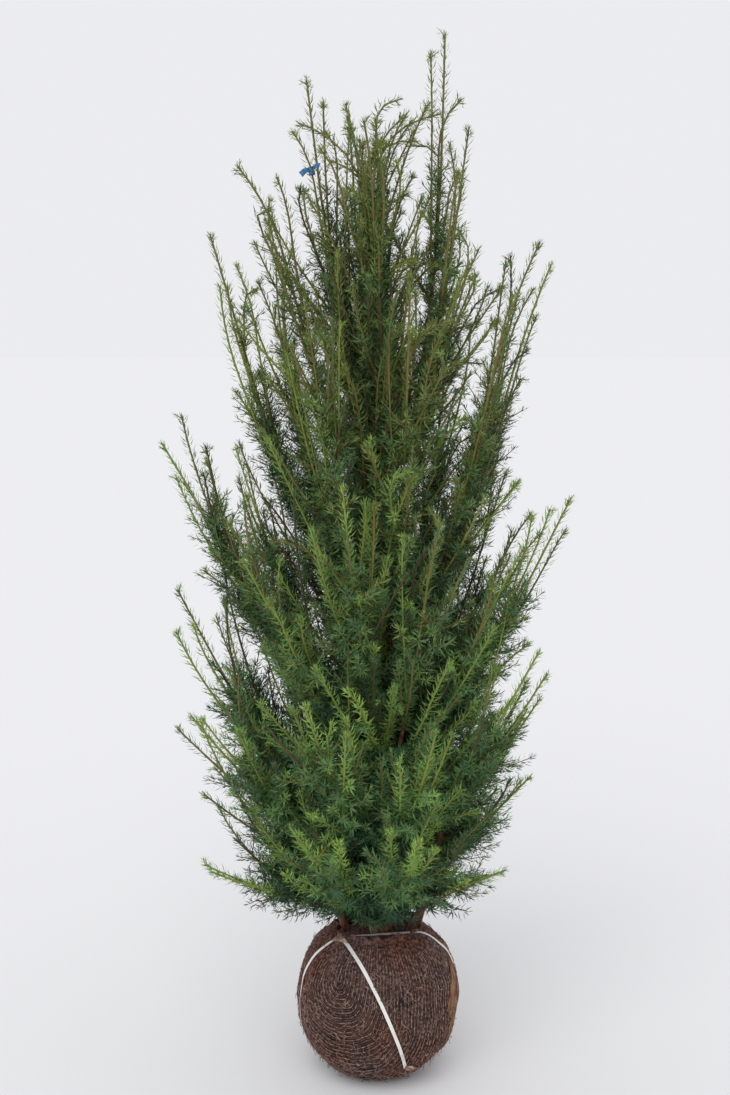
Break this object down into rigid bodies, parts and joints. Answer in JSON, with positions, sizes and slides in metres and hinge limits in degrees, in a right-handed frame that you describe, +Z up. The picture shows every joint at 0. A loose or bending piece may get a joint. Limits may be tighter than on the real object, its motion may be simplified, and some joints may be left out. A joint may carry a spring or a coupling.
{
  "type": "young yew with root ball",
  "caption": "Young upright yew with many ascending shoots, standing on its root ball, which is wrapped in jute cloth and tied with white tape.",
  "frame": {"origin": "middle of the flat underside of the root ball", "axes": "+Z up along the trunk, -Y towards the front, where the tape's knot is, +X to the right as seen from the front"},
  "size_m": [0.6649, 0.5521, 1.757],
  "materials": {
    "jute_cloth": "matte",
    "tape": "satin",
    "bark": "matte",
    "needles_lower": "matte",
    "needles_middle": "matte",
    "needles_upper": "matte"
  },
  "bodies": {
    "root": {"root_ball": "jute_cloth", "tape_side": "tape", "tape_front": "tape", "trunk": "bark", "stem_left": "bark", "stem_right": "bark", "skirt_plume_1": "needles_lower", "skirt_plume_2": "needles_lower", "skirt_plume_3": "needles_lower", "skirt_plume_4": "needles_lower", "skirt_plume_5": "needles_lower", "skirt_plume_6": "needles_lower", "skirt_plume_7": "needles_lower", "skirt_plume_8": "needles_lower", "skirt_plume_9": "needles_lower", "lower_plume_1": "needles_lower", "lower_plume_2": "needles_lower", "lower_plume_3": "needles_lower", "lower_plume_4": "needles_lower", "lower_plume_5": "needles_lower", "lower_plume_6": "needles_lower", "lower_plume_7": "needles_lower", "lower_plume_8": "needles_lower", "lower_plume_9": "needles_lower", "middle_plume_1": "needles_middle", "middle_plume_2": "needles_middle", "middle_plume_3": "needles_middle", "middle_plume_4": "needles_middle", "middle_plume_5": "needles_middle", "middle_plume_6": "needles_middle", "middle_plume_7": "needles_middle", "middle_plume_8": "needles_middle", "middle_plume_9": "needles_middle", "middle_plume_10": "needles_middle", "upper_plume_1": "needles_upper", "upper_plume_2": "needles_upper", "upper_plume_3": "needles_upper", "upper_plume_4": "needles_upper", "upper_plume_5": "needles_upper", "upper_plume_6": "needles_upper", "upper_plume_7": "needles_upper", "upper_plume_8": "needles_upper", "crown_plume_1": "needles_upper", "crown_plume_2": "needles_upper", "crown_plume_3": "needles_upper", "crown_plume_4": "needles_upper", "crown_plume_5": "needles_upper", "crown_plume_6": "needles_upper", "skirt_bough_1": "bark", "skirt_bough_7": "bark", "lower_bough_5": "bark", "middle_bough_1": "bark", "middle_bough_6": "bark", "middle_bough_8": "bark", "upper_bough_1": "bark", "upper_bough_5": "bark", "upper_bough_6": "bark", "upper_bough_7": "bark", "crown_bough_1": "bark", "crown_bough_3": "bark"}
  },
  "joints": []
}
